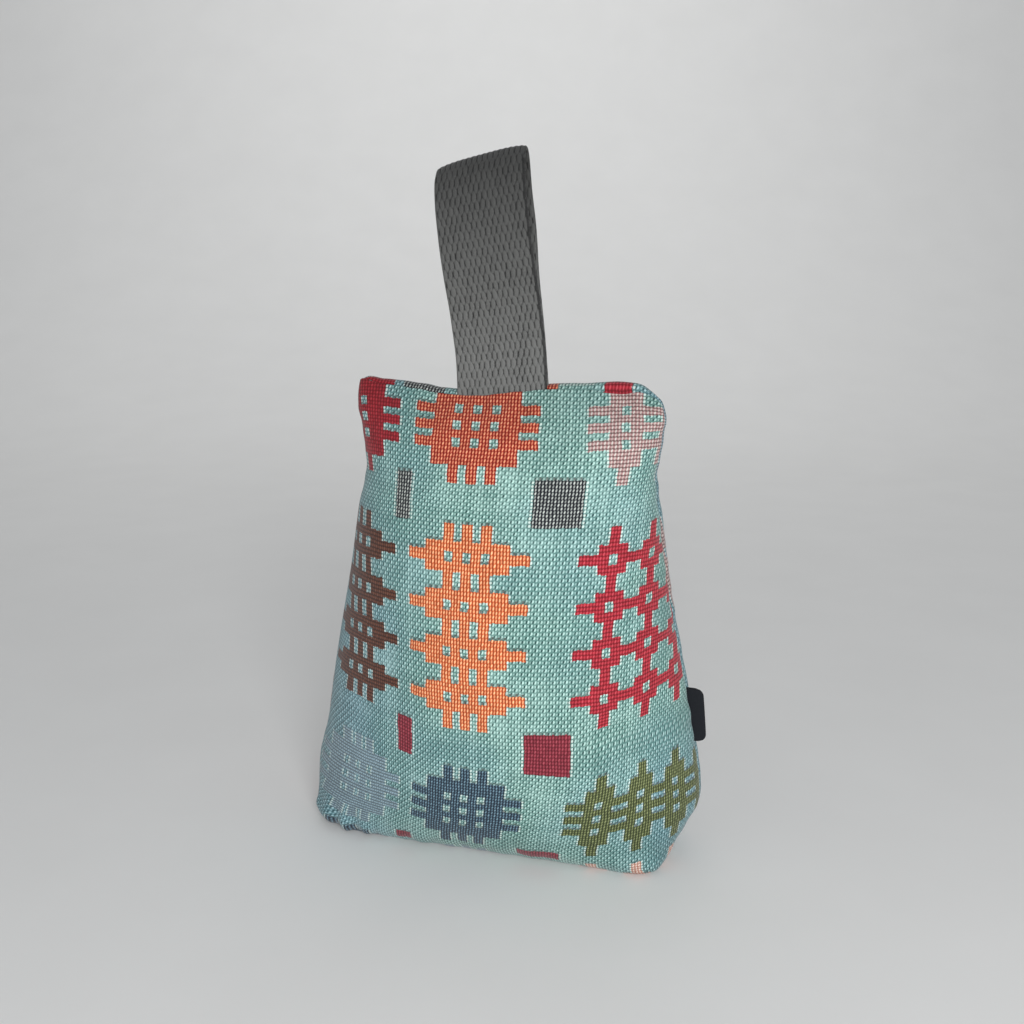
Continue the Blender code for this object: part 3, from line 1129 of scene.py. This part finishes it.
# The backdrop in metres: where it starts and bends, the bend, its height and half its width.
BACKDROP_NEAR = -2.5
BACKDROP_AWAY = 0.9
BACKDROP_BEND = 1.2
BACKDROP_TOP = 4.0
BACKDROP_SIDE = 3.5
DAYLIGHT = (0.93, 0.96, 1.0, 1.0)
DAYLIGHT_STRENGTH = 0.34
# Places in metres and power in watts.
Light = namedtuple("Light", "name location energy size colour aim")
LIGHTS = (
    Light("key", (0.46, -1.03, 0.42), 13.0, 0.55, (0.98, 0.99, 1.0), (0.0, 0.0, 0.12)),
    Light("fill", (1.2, -0.4, 0.35), 0.5, 0.8, (0.95, 0.97, 1.0), (0.0, 0.0, 0.12)),
    Light("backdrop_light", (-0.3, 0.9, 1.6), 9.0, 1.2, (1.0, 1.0, 1.0), (-0.6, 2.2, 0.6)),
)


def make_camera():
    """A camera a little to the right, looking slightly down."""
    turn, pitch = math.radians(CAMERA_TURN), math.radians(CAMERA_PITCH)
    data = bpy.data.cameras.new("camera")
    data.lens = LENS
    data.clip_start = 0.01
    camera = bpy.data.objects.new("camera", data)
    x = math.sin(turn) * CAMERA_DISTANCE + math.cos(turn) * CAMERA_SIDEWAYS
    y = -math.cos(turn) * CAMERA_DISTANCE + math.sin(turn) * CAMERA_SIDEWAYS
    camera.location = (x * MM, y * MM, CAMERA_HEIGHT * MM)
    camera.rotation_euler = (math.pi / 2 - pitch, 0.0, turn)
    bpy.context.scene.collection.objects.link(camera)
    bpy.context.scene.camera = camera


def floor_material():
    s = Shader("pale_floor")
    place = s.add("ShaderNodeTexCoord", None, None, "Object")
    tone = s.noise(place, 14.0, 4.0)
    s.set(Base_Color=s.mix(tone, (0.79, 0.785, 0.77), (0.84, 0.835, 0.82)), Roughness=0.7)
    return s.material


def add_light(row):
    """A square lamp that faces its aim."""
    data = bpy.data.lights.new(row.name, "AREA")
    data.energy = row.energy
    data.size = row.size
    data.color = row.colour
    light = bpy.data.objects.new(row.name, data)
    light.location = row.location
    target = np.array(row.aim) - np.array(row.location)
    light.rotation_euler = (
        math.atan2(math.hypot(target[0], target[1]), -target[2]),
        0.0,
        math.atan2(target[1], target[0]) - math.pi / 2,
    )
    bpy.context.scene.collection.objects.link(light)


def make_backdrop():
    """A floor that curves up behind the bag, square to the camera."""
    turn = math.radians(CAMERA_TURN)
    arc = np.linspace(0, math.pi / 2, 33)
    away = BACKDROP_AWAY + BACKDROP_BEND * np.sin(arc)
    away = np.concatenate([[BACKDROP_NEAR], away, [BACKDROP_AWAY + BACKDROP_BEND]])
    up = np.concatenate([[0.0], BACKDROP_BEND * (1 - np.cos(arc)), [BACKDROP_TOP]])
    side = np.linspace(-BACKDROP_SIDE, BACKDROP_SIDE, 15)
    side, away = np.meshgrid(side, away)
    up = np.broadcast_to(up[:, None], side.shape)
    x = side * math.cos(turn) - away * math.sin(turn)
    y = side * math.sin(turn) + away * math.cos(turn)
    points = np.stack([x, y, up], -1)
    floor = add_piece("floor", points.reshape(-1, 3), grid_faces(*side.shape))
    weld(floor)
    return floor


def make_stage():
    """The floor, soft daylight, the lamps and the camera."""
    floor = make_backdrop()
    floor.data.materials.append(floor_material())
    world = bpy.data.worlds.new("studio")
    world.use_nodes = True
    background = world.node_tree.nodes["Background"]
    background.inputs["Color"].default_value = DAYLIGHT
    background.inputs["Strength"].default_value = DAYLIGHT_STRENGTH
    bpy.context.scene.world = world
    for row in LIGHTS:
        add_light(row)
    bpy.context.scene.view_settings.view_transform = "Standard"
    make_camera()


# ---- Operators, panel and main ----


def settle(piece, node, material):
    """Puts a finished piece on the body in place of its plain solid."""
    piece.data.materials.append(material)
    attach(piece, BODY)
    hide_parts(node)


class DOORSTOP_OT_bag(bpy.types.Operator):
    """Build the filled bag of woven cloth"""

    bl_idname = "doorstop.bag"
    bl_label = "Build bag"

    def execute(self, context):
        piece = make_bag()
        settle(piece, "bag", cloth_material())
        return {"FINISHED"}


class DOORSTOP_OT_handle(bpy.types.Operator):
    """Build the webbing handle"""

    bl_idname = "doorstop.handle"
    bl_label = "Build handle"

    def execute(self, context):
        piece = make_handle()
        settle(piece, "handle", webbing_material())
        return {"FINISHED"}


class DOORSTOP_OT_label(bpy.types.Operator):
    """Build the folded label in the side seam"""

    bl_idname = "doorstop.label"
    bl_label = "Build label"

    def execute(self, context):
        piece = make_label()
        settle(piece, "label", label_material())
        return {"FINISHED"}


class DOORSTOP_OT_stage(bpy.types.Operator):
    """Build the floor, the lights and the camera"""

    bl_idname = "doorstop.stage"
    bl_label = "Build stage"

    def execute(self, context):
        make_stage()
        return {"FINISHED"}


class DOORSTOP_PT_panel(bpy.types.Panel):
    """Sizes, colours and build steps of the doorstop"""

    bl_label = "Doorstop"
    bl_space_type = "VIEW_3D"
    bl_region_type = "UI"
    bl_category = "Doorstop"

    def draw(self, context):
        for group in (context.scene.doorstop_sizes, context.scene.doorstop_colours):
            for name in group.__annotations__:
                self.layout.prop(group, name)
        for operator in OPERATORS:
            self.layout.operator(operator.bl_idname)


OPERATORS = (DOORSTOP_OT_bag, DOORSTOP_OT_handle, DOORSTOP_OT_label, DOORSTOP_OT_stage)
CLASSES = (DoorstopSizes, DoorstopColours, *OPERATORS, DOORSTOP_PT_panel)


def register():
    for cls in CLASSES:
        bpy.utils.register_class(cls)
    bpy.types.Scene.doorstop_sizes = PointerProperty(type=DoorstopSizes)
    bpy.types.Scene.doorstop_colours = PointerProperty(type=DoorstopColours)


def unregister():
    del bpy.types.Scene.doorstop_sizes
    del bpy.types.Scene.doorstop_colours
    for cls in reversed(CLASSES):
        bpy.utils.unregister_class(cls)


def main():
    register()
    bpy.ops.doorstop.bag()
    bpy.ops.doorstop.handle()
    bpy.ops.doorstop.label()
    bpy.ops.doorstop.stage()
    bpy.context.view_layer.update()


if __name__ == "__main__":
    main()
